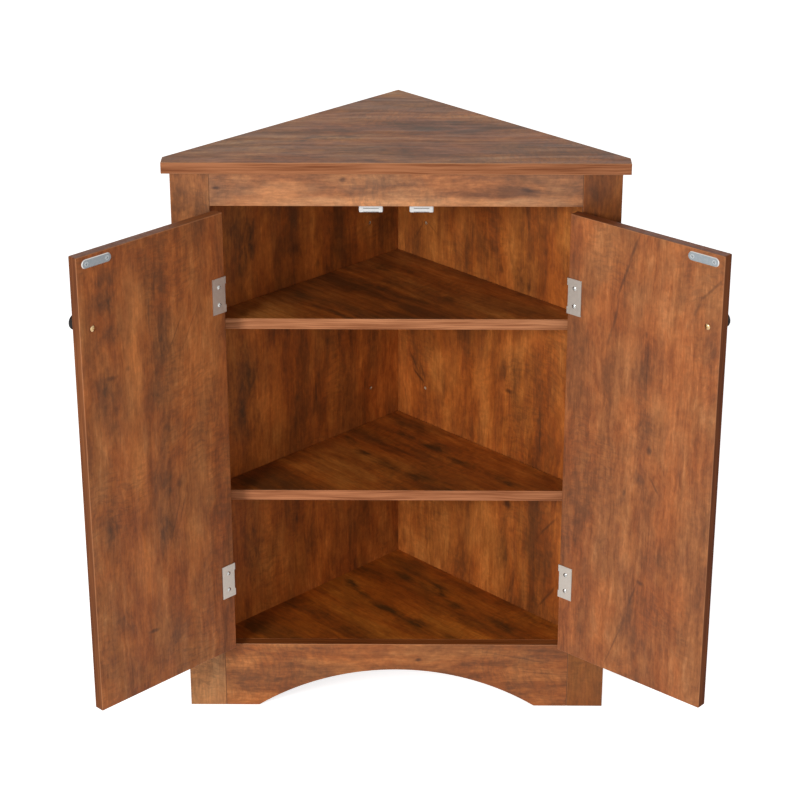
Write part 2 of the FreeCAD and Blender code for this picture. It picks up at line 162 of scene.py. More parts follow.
def makeWalnutGrain():
    controls = {name: "Float" for name in ("SmokeAndShade", "Glow", "Vein", "Knot", "Wild", "Figure")}
    group, given, out = newGroup(
        "walnutGrain", {"Vector": "Vector", **controls},
        {"Color": "Color", "Roughness": "Float", "Height": "Float"})
    link = group.links.new
    place = given["Vector"]
    bent = vec(group, "ADD", place, wander(group, place, **grainShape["broadBend"]))
    bent = vec(group, "ADD", bent, wander(group, place, **grainShape["smallBend"]))
    layers = {name: noise(group, bent, **layer)["Fac"] for name, layer in bentLayers.items()}
    for name, layer in straightLayers.items():
        layers[name] = noise(group, place, **layer)["Fac"]

    level = 0.5
    for name, weight in swings.items():
        swing = calc(group, "MULTIPLY", calc(group, "SUBTRACT", layers[name], 0.5), weight)
        if name in ("plank", "flame"):
            swing = calc(group, "MULTIPLY", swing, given["Figure"])
        level = calc(group, "ADD", level, swing)
    limits = {"Value": level, "From Min": grainShape["darkest"], "From Max": grainShape["lightest"]}
    spread = put(group, "MapRange", limits).outputs[0]
    colour = colourRamp(group, spread, [
        (0.0, walnut["deep"]), (0.36, walnut["brown"]), (0.66, walnut["warm"]), (1.0, walnut["light"])])
    colour = tint(group, given["Glow"], colour, walnut["glow"])
    cast = tint(group, fit(group, layers["drift"], 0.36, 0.64), walnut["redCast"], walnut["oliveCast"])
    colour = tint(group, 1.0, colour, cast, "MULTIPLY")

    # smoky patches with wispy rims; the placed smoke marks are print, except a few that are painted shade
    wild = calc(group, "MULTIPLY", fit(group, layers["cloud"], 0.52, 0.68, 0.0, 0.70), given["Wild"])
    patch = calc(group, "MAXIMUM", wild, given["SmokeAndShade"])
    for name, thinnest in (("fleck", 0.45), ("streak", 0.75), ("grit", 0.60)):
        patch = calc(group, "MULTIPLY", patch, fit(group, layers[name], 0.36, 0.62, 1.0, thinnest))
    colour = tint(group, patch, colour, walnut["smokeAndShade"])

    # short ripples across the grain
    ripple = fit(group, layers["ripple"], 0.44, 0.62)
    rippleZone = fit(group, layers["rippleZone"], 0.46, 0.62, 0.04, 0.28)
    colour = tint(group, calc(group, "MULTIPLY", ripple, rippleZone), colour, walnut["smokeAndShade"])

    # thin dark lines along the figure
    ring = calc(group, "PINGPONG", layers["figure"], grainShape["ringStep"])
    contour = fit(group, ring, grainShape["ringCore"], grainShape["ringRim"], 1.0, 0.0)
    contourZone = fit(group, layers["contourZone"], 0.53, 0.64, 0.0, 0.55)
    contour = calc(group, "MULTIPLY", calc(group, "MULTIPLY", contour, contourZone), given["Wild"])
    colour = tint(group, calc(group, "MAXIMUM", contour, given["Vein"]), colour, walnut["vein"])

    # small knots and pecks, in about a third of the cells
    cells = put(group, "Mapping", {"Vector": bent, "Scale": grainShape["knotCells"]}).outputs[0]
    cell = put(group, "TexVoronoi", {"Vector": cells, "Scale": 1.0})
    pick = put(group, "SeparateColor", {0: cell.outputs["Color"]}).outputs[0]
    peck = fit(group, cell.outputs["Distance"], grainShape["knotCore"], grainShape["knotRim"],
               grainShape["knotDepth"], 0.0)
    peck = calc(group, "MULTIPLY", peck, fit(group, pick, 0.62, 0.66))
    peck = calc(group, "MULTIPLY", peck, given["Wild"])
    colour = tint(group, calc(group, "MAXIMUM", peck, given["Knot"]), colour, walnut["knot"])

    # fibres and pores lighten and darken the print
    grey = calc(group, "MULTIPLY", fit(group, layers["fibre"], 0.30, 0.70, 0.88, 1.11),
                fit(group, layers["pore"], 0.34, 0.66, 0.91, 1.08))
    shade = put(group, "CombineColor", {0: grey, 1: grey, 2: grey}).outputs[0]
    link(tint(group, 1.0, colour, shade, "MULTIPLY"), out["Color"])
    link(fit(group, layers["streak"], 0.3, 0.7, 0.56, 0.42), out["Roughness"])
    halves = [calc(group, "MULTIPLY", layers[name], 0.5) for name in ("fibre", "streak")]
    link(calc(group, "ADD", *halves), out["Height"])
    return group


bandShape = {
    "bend": {"scale": (8.0, 8.0, 8.0), "reach": (0.0, 0.0, 0.012)},
    "fine": {"scale": (9.0, 9.0, 480.0), "detail": 4.0, "rough": 0.6}, "fineShare": 0.6,
    "broad": {"scale": (7.0, 7.0, 70.0), "detail": 3.0}, "broadShare": 0.4,
    "darkest": 0.40, "lightest": 0.60,
}


def makeEdgeBand():
    group, given, out = newGroup("edgeBand", {"Vector": "Vector"}, {"Color": "Color"})
    place = vec(group, "ADD", given["Vector"], wander(group, given["Vector"], **bandShape["bend"]))
    fine = calc(group, "MULTIPLY", noise(group, place, **bandShape["fine"])["Fac"], bandShape["fineShare"])
    broad = calc(group, "MULTIPLY", noise(group, place, **bandShape["broad"])["Fac"], bandShape["broadShare"])
    limits = {"Value": calc(group, "ADD", fine, broad), "From Min": bandShape["darkest"],
              "From Max": bandShape["lightest"]}
    spread = put(group, "MapRange", limits).outputs[0]
    colour = colourRamp(group, spread, [(0.0, walnut["bandDeep"]), (1.0, walnut["bandLight"])])
    group.links.new(colour, out["Color"])
    return group


chipShape = {"scale": (900.0, 900.0, 900.0), "detail": 3.0, "rough": 0.6}


def makeBareChip():
    # pressed wood chips where a hole is drilled into a board
    group, given, out = newGroup("bareChip", {"Vector": "Vector"}, {"Color": "Color"})
    chip = noise(group, given["Vector"], **chipShape)["Fac"]
    spread = put(group, "MapRange", {"Value": chip, "From Min": 0.35, "From Max": 0.65}).outputs[0]
    colour = colourRamp(group, spread, [(0.0, walnut["chipDark"]), (1.0, walnut["chipLight"])])
    group.links.new(colour, out["Color"])
    return group


markShape = {"core": 0.15, "rim": 1.05}


def makeGrainMark():
    # a soft-rimmed mark at a place on the board, which may lean across the grain
    group, given, out = newGroup(
        "grainMark",
        {"Vector": "Vector", "Wobble": "Vector", "Place": "Vector", "Reach": "Vector", "Lean": "Float",
         "Depth": "Float"},
        {"Mask": "Float"})
    away = put(group, "SeparateXYZ", {0: vec(group, "SUBTRACT", given["Vector"], given["Place"])}).outputs
    across = calc(group, "SUBTRACT", away[0], calc(group, "MULTIPLY", away[1], given["Lean"]))
    flat = put(group, "CombineXYZ", {0: across, 1: away[1]}).outputs[0]
    share = vec(group, "ADD", vec(group, "DIVIDE", flat, given["Reach"]), given["Wobble"])
    plane = vec(group, "MULTIPLY", share, (1.0, 1.0, 0.0))
    size = put(group, "VectorMath", {0: plane}, operation="LENGTH").outputs["Value"]
    mask = fit(group, size, markShape["core"], markShape["rim"], 1.0, 0.0)
    group.links.new(calc(group, "MULTIPLY", mask, given["Depth"]), out["Mask"])
    return group


walnutGrain = makeWalnutGrain()
edgeBand = makeEdgeBand()
bareChip = makeBareChip()
grainMark = makeGrainMark()


def span(name, axis):
    reach = [axis.dot(vertex.co) for vertex in nodes[name].data.vertices]
    return min(reach), max(reach)


def between(tree, value, low, high, soft):
    rise = fit(tree, value, low, low + soft)
    return calc(tree, "MULTIPLY", rise, fit(tree, value, high - soft, high, 1.0, 0.0))


# facing is 1 on a board's broad faces and 0 on its edges; lengths are in metres
laminate = {
    "specular": 0.28, "bump": 0.25, "bumpDepth": 0.0004,
    "edgeFacing": 0.45, "faceFacing": 0.80,
    "rimStart": 0.10, "rimFull": 0.45, "rimFade": 0.75, "rimEnd": 0.97,
    "edgeDull": 0.85, "endRise": 0.50, "endUp": 0.90,
    "skinDepth": 0.0010, "skinSoft": 0.0004, "borderDepth": 0.004, "borderSoft": 0.002, "seamWidth": 0.0012,
    "wobble": {"scale": (56.0, 15.0, 56.0), "reach": (1.6, 1.4, 0.0), "detail": 5.0},
    "sway": {"scale": (13.0, 9.0, 13.0), "reach": (0.012, 0.010, 0.0), "detail": 3.0},
}


def makeLaminate(name, grain, face, start, stainAndShading, band, wild=0.35, figure=1.0, rim=0.40, seam=0.0, **marks):
    material, tree, shader = newMaterial(name + "_laminate", {"Specular IOR Level": laminate["specular"]})
    coords = tree.nodes.new("ShaderNodeTexCoord").outputs
    axes = (grain.cross(face), grain, face)
    spans = [span(name, axis) for axis in axes]
    turn = Matrix(axes).to_euler()
    corner = [-low for low, high in spans]
    board = put(tree, "Mapping", {"Vector": coords["Object"], "Rotation": turn, "Location": corner}).outputs[0]
    turned = {"Vector": coords["Normal"], "Rotation": turn}
    facing = put(tree, "Mapping", turned, vector_type="VECTOR").outputs[0]
    through = calc(tree, "ABSOLUTE", put(tree, "SeparateXYZ", {0: facing}).outputs[2])

    wobble = wander(tree, board, **laminate["wobble"])
    swayed = vec(tree, "ADD", board, wander(tree, board, **laminate["sway"]))
    masks = {}
    for kind in ("smokeAndShade", "glow", "vein", "knot"):
        masks[kind] = 0.0
        for across, along, halfWidth, halfLength, lean, depth in marks.get(kind, ()):
            mark = useGroup(tree, grainMark, {
                "Vector": swayed, "Wobble": wobble, "Place": (across, along, 0.0),
                "Reach": (halfWidth, halfLength, 1.0), "Lean": lean, "Depth": depth})["Mask"]
            masks[kind] = calc(tree, "MAXIMUM", masks[kind], mark)

    printed = put(tree, "Mapping", {"Vector": board, "Location": start}).outputs[0]
    skin = useGroup(tree, walnutGrain, {
        "Vector": printed, "SmokeAndShade": masks["smokeAndShade"], "Glow": masks["glow"], "Vein": masks["vein"],
        "Knot": masks["knot"], "Wild": wild, "Figure": figure})
    # Each board's stainAndShading multiplier is partly the board's own tone and partly painted shading matched
    # to how the board is lit; it darkens the walls and shelves inside the cupboard as painted shade.
    top = tint(tree, 1.0, skin["Color"], (*stainAndShading, 1.0), "MULTIPLY")
    edge = useGroup(tree, edgeBand, {"Vector": printed})["Color"]
    edge = tint(tree, 1.0, edge, (*band, 1.0), "MULTIPLY")
    onFace = fit(tree, through, laminate["edgeFacing"], laminate["faceFacing"])
    colour = tint(tree, onFace, edge, top)
    # The rounded arrises are painted lighter, partly as edge wear and partly as a painted highlight.
    curved = calc(tree, "MULTIPLY", fit(tree, through, laminate["rimStart"], laminate["rimFull"]),
                  fit(tree, through, laminate["rimFade"], laminate["rimEnd"], 1.0, 0.0))
    colour = tint(tree, calc(tree, "MULTIPLY", curved, rim), colour, walnut["arris"])

    # drilled holes show the bare core, butted ends a dark seam
    spot = put(tree, "SeparateXYZ", {0: board}).outputs
    sizes = [high - low for low, high in spans]
    skinDepth, borderDepth = laminate["skinDepth"], laminate["borderDepth"]
    core = between(tree, spot[2], skinDepth, sizes[2] - skinDepth, laminate["skinSoft"])
    for number in (0, 1):
        inside = between(tree, spot[number], borderDepth, sizes[number] - borderDepth, laminate["borderSoft"])
        core = calc(tree, "MULTIPLY", core, inside)
    if seam:
        joint = calc(tree, "SUBTRACT", 1.0, between(tree, spot[1], 0.0, sizes[1], laminate["seamWidth"]))
        colour = tint(tree, calc(tree, "MULTIPLY", joint, seam), colour, walnut["knot"])
    if "side_panel" in name:
        colour = tint(tree, core, colour, useGroup(tree, bareChip, {"Vector": board})["Color"])
    tree.links.new(colour, shader.inputs["Base Color"])

    # upright edges are dull, the doors' upper ends catch the light as the top does
    rise = put(tree, "SeparateXYZ", {0: coords["Normal"]}).outputs[2]
    dull = fit(tree, through, laminate["edgeFacing"], laminate["faceFacing"], laminate["edgeDull"], 0.0)
    dull = calc(tree, "MULTIPLY", dull, fit(tree, rise, laminate["endRise"], laminate["endUp"], 1.0, 0.0))
    rough = calc(tree, "MAXIMUM", skin["Roughness"], dull)
    tree.links.new(rough, shader.inputs["Roughness"])
    addBump(tree, shader, skin["Height"], laminate["bump"], laminate["bumpDepth"])
    return material


def dress(material, *names):
    for name in names:
        for slot in nodes[name].material_slots:
            slot.material = material


right = Vector((1.0, 0.0, 0.0))
front = Vector((0.0, -1.0, 0.0))
up = Vector((0.0, 0.0, 1.0))
rightWall = (right + front).normalized()
leftWall = (front - right).normalized()
doorFace = {}
for side, turnSign in (("left", 1.0), ("right", -1.0)):
    openAngle = math.radians(joints[side + "_door_hinge"]["range_deg"][0])
    doorFace[side] = Matrix.Rotation(turnSign * openAngle, 3, "Z") @ -front

# each mark is across, along, half width, half length, lean and depth, from the board's low corner
shelfSmokeAndShade = [
    (0.124, 0.030, 0.011, 0.026, 0.2, 1.7), (0.134, 0.064, 0.010, 0.024, 0.1, 1.6),
    (0.139, 0.115, 0.012, 0.042, 0.0, 1.6), (0.137, 0.180, 0.012, 0.032, 0.0, 1.4),
    (0.133, 0.240, 0.008, 0.026, 0.0, 1.0), (0.054, 0.070, 0.014, 0.034, 0.0, 1.5),
    (0.050, 0.124, 0.019, 0.038, 0.0, 1.6), (0.062, 0.184, 0.014, 0.032, 0.0, 1.5),
    # The mark at the front left end (0.310, 0.025) is painted shadow of the left door and stile, and the one in
    # the rear corner (0.025, 0.045) is painted shade; the rest are print.
    (0.058, 0.270, 0.014, 0.050, 0.0, 1.0), (0.310, 0.025, 0.020, 0.026, 0.0, 1.0),
    (0.025, 0.045, 0.026, 0.045, 0.0, 1.0),
]
boards = {
    "top_board": {
        "grain": right, "face": up, "start": (0.2, 0.4, 0.0), "stainAndShading": (0.88, 1.00, 1.04),
        "band": (0.86, 0.84, 0.92), "rim": 0.75,
        "smokeAndShade": [
            (0.213, 0.205, 0.015, 0.052, 0.0, 1.5), (0.231, 0.171, 0.010, 0.028, 0.0, 1.0),
            (0.155, 0.299, 0.013, 0.032, 0.0, 1.3), (0.180, 0.335, 0.013, 0.036, 0.0, 1.4),
            (0.147, 0.375, 0.010, 0.030, 0.0, 1.1), (0.210, 0.329, 0.012, 0.030, 0.0, 0.45),
            (0.297, 0.114, 0.010, 0.030, 0.0, 0.90), (0.293, 0.560, 0.012, 0.026, 0.0, 0.80),
            (0.225, 0.085, 0.012, 0.030, 0.0, 0.50), (0.222, 0.494, 0.010, 0.030, 0.0, 0.40),
            (0.190, 0.446, 0.009, 0.025, 0.0, 0.55), (0.300, 0.344, 0.006, 0.020, 0.0, 0.50),
            (0.180, 0.300, 0.050, 0.170, 0.0, 0.30), (0.255, 0.135, 0.060, 0.130, 0.0, 0.55),
        ],
    },
    "left_side_panel": {
        "grain": up, "face": rightWall, "start": (1.3, 2.2, 0.4), "stainAndShading": (0.86, 0.74, 0.51),
        "band": (0.9, 0.9, 0.9),
        # The marks at across about 0.105, one in each compartment, are painted shadow of the left stile and
        # door on the wall's front part; the others are print.
        "smokeAndShade": [
            (0.105, 0.655, 0.038, 0.090, 0.0, 1.15), (0.195, 0.640, 0.026, 0.055, 0.0, 0.85),
            (0.365, 0.640, 0.038, 0.080, 0.0, 0.50), (0.106, 0.440, 0.034, 0.120, 0.0, 1.10),
            (0.205, 0.420, 0.026, 0.090, 0.0, 0.66), (0.340, 0.450, 0.030, 0.070, 0.0, 0.50),
            (0.108, 0.210, 0.030, 0.090, 0.0, 1.00), (0.220, 0.190, 0.020, 0.070, 0.0, 0.65),
        ],
        "glow": [
            (0.158, 0.415, 0.013, 0.110, 0.0, 0.55), (0.150, 0.640, 0.015, 0.055, 0.0, 0.65),
            (0.262, 0.420, 0.016, 0.070, 0.0, 0.40), (0.160, 0.180, 0.014, 0.060, 0.0, 0.45),
        ],
        "vein": [(0.230, 0.408, 0.0024, 0.030, 0.0, 0.80), (0.189, 0.222, 0.0030, 0.012, 0.0, 0.80)],
        "knot": [(0.197, 0.630, 0.010, 0.010, 0.0, 0.55), (0.236, 0.597, 0.005, 0.009, 0.0, 0.50)],
    },
    "right_side_panel": {
        "grain": up, "face": leftWall, "start": (2.7, 0.6, 0.8), "stainAndShading": (0.97, 0.865, 0.65),
        "band": (0.9, 0.9, 0.9),
        "smokeAndShade": [
            (0.045, 0.400, 0.018, 0.028, -0.6, 0.80), (0.092, 0.393, 0.008, 0.055, 0.0, 0.65),
            (0.218, 0.450, 0.024, 0.048, 0.0, 0.80), (0.210, 0.180, 0.013, 0.080, 0.0, 0.80),
            (0.066, 0.150, 0.014, 0.028, 0.0, 0.60), (0.225, 0.600, 0.034, 0.036, 0.0, 0.45),
            (0.275, 0.470, 0.010, 0.050, 0.0, 0.50), (0.300, 0.200, 0.016, 0.060, 0.2, 0.50),
        ],
        "glow": [
            (0.165, 0.425, 0.020, 0.075, 0.0, 0.60), (0.120, 0.640, 0.017, 0.050, 0.0, 0.40),
            (0.255, 0.140, 0.014, 0.070, 0.0, 0.45), (0.150, 0.180, 0.020, 0.060, 0.0, 0.40),
        ],
        "vein": [
            (0.144, 0.640, 0.0020, 0.022, 0.0, 0.55), (0.277, 0.382, 0.0024, 0.062, -0.03, 0.65),
            (0.293, 0.242, 0.0032, 0.030, 0.77, 0.60), (0.297, 0.136, 0.0032, 0.032, 0.67, 0.60),
            (0.044, 0.615, 0.0026, 0.020, 0.69, 0.45), (0.070, 0.622, 0.0026, 0.012, -1.6, 0.40),
            (0.034, 0.410, 0.0028, 0.022, -0.7, 0.60), (0.050, 0.402, 0.0024, 0.020, -0.5, 0.55),
        ],
        "knot": [
            (0.200, 0.601, 0.006, 0.008, 0.0, 0.50), (0.249, 0.591, 0.006, 0.008, 0.0, 0.50),
            (0.217, 0.428, 0.012, 0.005, 0.0, 0.75), (0.217, 0.250, 0.010, 0.010, 0.0, 0.80),
            (0.044, 0.392, 0.005, 0.012, -1.4, 0.70),
        ],
    },
    "left_stile": {
        "grain": up, "face": front, "start": (3.1, 1.4, 0.2), "stainAndShading": (1.06, 1.40, 2.14),
        "band": (0.8, 0.8, 0.8),
        "smokeAndShade": [(0.020, 0.740, 0.024, 0.050, 0.0, 0.45), (0.042, 0.076, 0.012, 0.026, 0.2, 0.40)],
        "glow": [(0.022, 0.030, 0.050, 0.070, 0.0, 1.00)]},
    "right_stile": {
        "grain": up, "face": front, "start": (4.9, 3.8, 0.6), "stainAndShading": (0.58, 0.55, 0.48),
        "band": (0.6, 0.6, 0.6),
        "smokeAndShade": [
            (0.012, 0.740, 0.016, 0.080, 0.0, 0.75), (0.034, 0.750, 0.034, 0.060, 0.0, 0.50),
            (0.030, 0.560, 0.012, 0.090, 0.0, 0.55), (0.014, 0.380, 0.010, 0.080, 0.0, 0.50),
            (0.034, 0.240, 0.012, 0.070, 0.0, 0.50),
        ],
        "glow": [(0.025, 0.045, 0.055, 0.090, 0.0, 0.75), (0.012, 0.520, 0.008, 0.100, 0.0, 0.35)]},
    "top_rail": {
        "grain": right, "face": front, "start": (5.3, 1.1, 0.1), "stainAndShading": (1.25, 1.68, 2.90),
        "band": (0.9, 0.9, 0.9), "seam": 0.70,
        "smokeAndShade": [
            (0.008, 0.360, 0.009, 0.060, 0.0, 0.60), (0.020, 0.448, 0.014, 0.030, 0.0, 0.55),
            (0.012, 0.235, 0.010, 0.060, 0.0, 0.45), (0.023, 0.400, 0.008, 0.020, 0.0, 0.55),
            (0.023, 0.184, 0.008, 0.022, 0.0, 0.35), (0.008, 0.060, 0.008, 0.050, 0.0, 0.30),
        ],
        "glow": [(0.040, 0.238, 0.012, 0.300, 0.0, 0.55), (0.025, 0.090, 0.015, 0.060, 0.0, 0.35)],
        "knot": [
            (0.019, 0.009, 0.0035, 0.008, 0.0, 0.80), (0.010, 0.170, 0.006, 0.006, 0.0, 0.65),
            (0.023, 0.402, 0.004, 0.012, 0.3, 0.55),
        ],
    },
    "arched_apron": {
        "grain": right, "face": front, "start": (6.6, 2.9, 0.3), "stainAndShading": (1.08, 1.18, 1.46),
        "band": (0.55, 0.42, 0.24), "rim": 0.85, "seam": 0.80,
        "smokeAndShade": [
            (0.060, 0.035, 0.034, 0.050, 0.0, 0.60), (0.040, 0.110, 0.016, 0.050, 0.1, 0.45),
            (0.020, 0.420, 0.014, 0.060, 0.0, 0.80), (0.030, 0.345, 0.020, 0.020, 0.0, 0.45),
            (0.070, 0.410, 0.024, 0.036, 0.0, 0.80), (0.062, 0.340, 0.026, 0.040, 0.0, 0.30),
        ],
        "vein": [(0.020, 0.405, 0.0020, 0.075, 0.19, 0.45), (0.045, 0.440, 0.0020, 0.035, 0.1, 0.40)],
        "knot": [(0.025, 0.270, 0.0040, 0.006, 0.0, 0.75)],
    },
    "bottom_board": {
        "grain": rightWall, "face": up, "start": (7.2, 0.3, 0.5), "stainAndShading": (0.85, 0.72, 0.315),
        "band": (0.9, 0.9, 0.9), "smokeAndShade": shelfSmokeAndShade},
    "upper_shelf": {
        "grain": rightWall, "face": up, "start": (8.4, 1.8, 0.7), "stainAndShading": (0.77, 0.71, 0.515),
        "band": (1.15, 1.22, 1.42),
        "smokeAndShade": [
            (0.215, 0.035, 0.012, 0.032, 0.0, 1.2), (0.226, 0.125, 0.010, 0.036, 0.0, 1.3),
            (0.130, 0.070, 0.024, 0.042, 0.0, 1.1), (0.065, 0.040, 0.014, 0.022, 0.0, 1.3),
            (0.099, 0.092, 0.020, 0.030, 0.0, 0.70), (0.043, 0.080, 0.014, 0.030, 0.0, 0.60),
            (0.082, 0.181, 0.020, 0.030, 0.0, 0.60), (0.122, 0.165, 0.016, 0.022, 0.0, 0.50),
            (0.093, 0.273, 0.014, 0.030, 0.0, 0.55), (0.045, 0.280, 0.012, 0.026, 0.0, 0.60),
            # This last mark, at the front left end, is painted shadow of the left door and stile.
            (0.318, 0.025, 0.018, 0.022, 0.0, 0.80),
        ],
    },
    "lower_shelf": {
        "grain": rightWall, "face": up, "start": (9.5, 4.1, 0.9), "stainAndShading": (0.74, 0.645, 0.385),
        "band": (1.06, 1.05, 1.17), "smokeAndShade": shelfSmokeAndShade},
    "left_door_panel": {
        "grain": up, "face": doorFace["left"], "start": (10.1, 0.9, 0.2), "stainAndShading": (0.89, 0.875, 0.92),
        "band": (0.52, 0.43, 0.31), "rim": 0.28, "wild": 0.15, "figure": 0.60,
        "smokeAndShade": [
            (0.043, 0.600, 0.028, 0.018, 0.0, 0.92), (0.040, 0.568, 0.022, 0.024, 0.0, 0.92),
            (0.046, 0.520, 0.034, 0.022, 0.0, 0.92), (0.036, 0.438, 0.028, 0.050, 0.0, 0.92),
            (0.045, 0.385, 0.018, 0.032, 0.0, 0.88), (0.124, 0.575, 0.020, 0.040, 0.15, 0.95),
            (0.128, 0.490, 0.024, 0.060, 0.12, 0.88), (0.119, 0.425, 0.018, 0.042, 0.1, 0.95),
            (0.124, 0.360, 0.022, 0.034, 0.0, 0.88), (0.120, 0.295, 0.022, 0.045, 0.0, 0.95),
            (0.123, 0.225, 0.019, 0.045, 0.0, 0.92), (0.155, 0.290, 0.016, 0.020, 0.3, 0.68),
            (0.034, 0.265, 0.015, 0.045, 0.0, 0.74), (0.049, 0.112, 0.026, 0.030, -0.4, 0.68),
            (0.132, 0.060, 0.022, 0.022, 0.0, 0.54), (0.190, 0.065, 0.018, 0.026, 0.0, 0.47),
        ],
        "glow": [
            (0.084, 0.480, 0.021, 0.140, 0.03, 1.00), (0.083, 0.330, 0.021, 0.090, 0.0, 0.95),
            (0.082, 0.190, 0.019, 0.070, 0.0, 0.75), (0.186, 0.430, 0.022, 0.110, 0.05, 0.56),
            (0.182, 0.300, 0.015, 0.045, 0.0, 0.70), (0.168, 0.190, 0.020, 0.050, 0.0, 0.49),
        ],
        "vein": [
            (0.107, 0.540, 0.0018, 0.040, 0.0, 0.45), (0.152, 0.498, 0.0020, 0.045, 0.55, 0.40),
            (0.176, 0.500, 0.0018, 0.050, 0.55, 0.35), (0.137, 0.235, 0.0022, 0.045, 0.30, 0.45),
            (0.150, 0.250, 0.0018, 0.030, 0.30, 0.35),
        ],
        "knot": [
            (0.044, 0.464, 0.015, 0.0050, 0.0, 0.60), (0.072, 0.470, 0.005, 0.005, 0.0, 0.35),
            (0.118, 0.453, 0.008, 0.011, 0.3, 0.40), (0.092, 0.084, 0.013, 0.0040, 0.0, 0.65),
        ],
    },
    "right_door_panel": {
        "grain": up, "face": doorFace["right"], "start": (13.4, 0.7, 0.4), "stainAndShading": (0.96, 1.00, 1.26),
        "band": (0.45, 0.31, 0.17), "rim": 0.30, "wild": 0.15, "figure": 0.55,
        "smokeAndShade": [
            (0.125, 0.451, 0.020, 0.024, 0.0, 0.65), (0.154, 0.462, 0.014, 0.024, 0.0, 0.45),
            (0.126, 0.370, 0.018, 0.024, 0.0, 0.60), (0.138, 0.350, 0.008, 0.018, 0.0, 0.60),
            (0.124, 0.302, 0.012, 0.018, 0.0, 0.55), (0.101, 0.273, 0.010, 0.022, 0.3, 0.50),
            (0.226, 0.500, 0.017, 0.058, 0.1, 0.60), (0.205, 0.575, 0.018, 0.024, 0.7, 0.25),
            (0.064, 0.195, 0.014, 0.042, 0.0, 0.55), (0.134, 0.125, 0.013, 0.030, 0.1, 0.60),
            (0.108, 0.085, 0.016, 0.032, 0.3, 0.50), (0.130, 0.060, 0.026, 0.030, 0.0, 0.45),
            (0.228, 0.410, 0.010, 0.060, 0.0, 0.65), (0.228, 0.250, 0.010, 0.090, 0.0, 0.55),
        ],
        "glow": [
            (0.145, 0.413, 0.022, 0.030, 0.0, 0.50), (0.105, 0.186, 0.022, 0.042, 0.0, 0.45),
            (0.102, 0.480, 0.020, 0.042, 0.0, 0.40), (0.115, 0.540, 0.040, 0.040, 0.0, 0.28),
            (0.164, 0.560, 0.0030, 0.080, 0.0, 0.45), (0.165, 0.430, 0.0030, 0.060, 0.0, 0.40),
            (0.050, 0.590, 0.040, 0.060, 0.0, 0.30),
        ],
        "vein": [
            (0.100, 0.610, 0.0030, 0.032, 0.36, 0.60), (0.086, 0.567, 0.0030, 0.038, 0.36, 0.65),
            (0.076, 0.520, 0.0028, 0.038, 0.14, 0.55), (0.069, 0.487, 0.0026, 0.026, 0.25, 0.40),
            (0.219, 0.590, 0.0036, 0.024, 0.85, 0.50), (0.200, 0.562, 0.0030, 0.020, 0.48, 0.40),
            (0.148, 0.299, 0.0030, 0.014, -0.65, 0.55), (0.118, 0.121, 0.0024, 0.030, 0.31, 0.55),
            (0.095, 0.050, 0.0022, 0.050, 0.36, 0.50),
        ],
        "knot": [
            (0.124, 0.503, 0.0040, 0.007, 0.0, 0.50), (0.138, 0.346, 0.005, 0.010, 0.0, 0.70),
            (0.101, 0.275, 0.004, 0.006, 0.0, 0.50), (0.132, 0.150, 0.008, 0.005, 0.0, 0.55),
        ],
    },
}
for name, board in boards.items():
    dress(makeLaminate(name, **board), name)
print("boards dressed:", len(boards))


# metals and plastics of the fittings

scuffShape = {
    "cloud": {"scale": (220.0, 220.0, 220.0), "detail": 4.0, "rough": 0.6}, "cloudShare": 0.6,
    "brush": {"scale": (240.0, 240.0, 5200.0), "detail": 2.0}, "brushShare": 0.4,
    "darkest": 0.32, "lightest": 0.68, "smoothest": 0.3, "roughest": 0.7,
    "rimEnd": 0.80, "rimStart": 0.97, "bumpDepth": 0.0001,
}


def makeScuffs():
    group, given, out = newGroup("scuffs", {"Vector": "Vector"}, {"Shade": "Float", "Height": "Float"})
    cloud = noise(group, given["Vector"], **scuffShape["cloud"])["Fac"]
    brush = noise(group, given["Vector"], **scuffShape["brush"])["Fac"]
    shade = calc(group, "ADD", calc(group, "MULTIPLY", cloud, scuffShape["cloudShare"]),
                 calc(group, "MULTIPLY", brush, scuffShape["brushShare"]))
    group.links.new(shade, out["Shade"])
    group.links.new(brush, out["Height"])
    return group


scuffs = makeScuffs()


def makeFinish(name, dark, light, rough, constants, bump=0.05, face=None, rim=None):
    material, tree, shader = newMaterial(name, constants)
    coords = tree.nodes.new("ShaderNodeTexCoord").outputs
    worn = useGroup(tree, scuffs, {"Vector": coords["Object"]})
    limits = {"Value": worn["Shade"], "From Min": scuffShape["darkest"], "From Max": scuffShape["lightest"]}
    colour = colourRamp(tree, put(tree, "MapRange", limits).outputs[0], [(0.0, dark), (1.0, light)])
    # Where the normal turns away from the face, the rim is painted lighter: a painted highlight with some
    # rubbing wear.
    if face:
        flat = put(tree, "VectorMath", {0: coords["Normal"], 1: face}, operation="DOT_PRODUCT")
        onRim = fit(tree, flat.outputs["Value"], scuffShape["rimEnd"], scuffShape["rimStart"], 1.0, 0.0)
        colour = tint(tree, onRim, colour, rim)
    tree.links.new(colour, shader.inputs["Base Color"])
    roughness = fit(tree, worn["Shade"], scuffShape["smoothest"], scuffShape["roughest"], *rough)
    tree.links.new(roughness, shader.inputs["Roughness"])
    addBump(tree, shader, worn["Height"], bump, scuffShape["bumpDepth"])
    return material


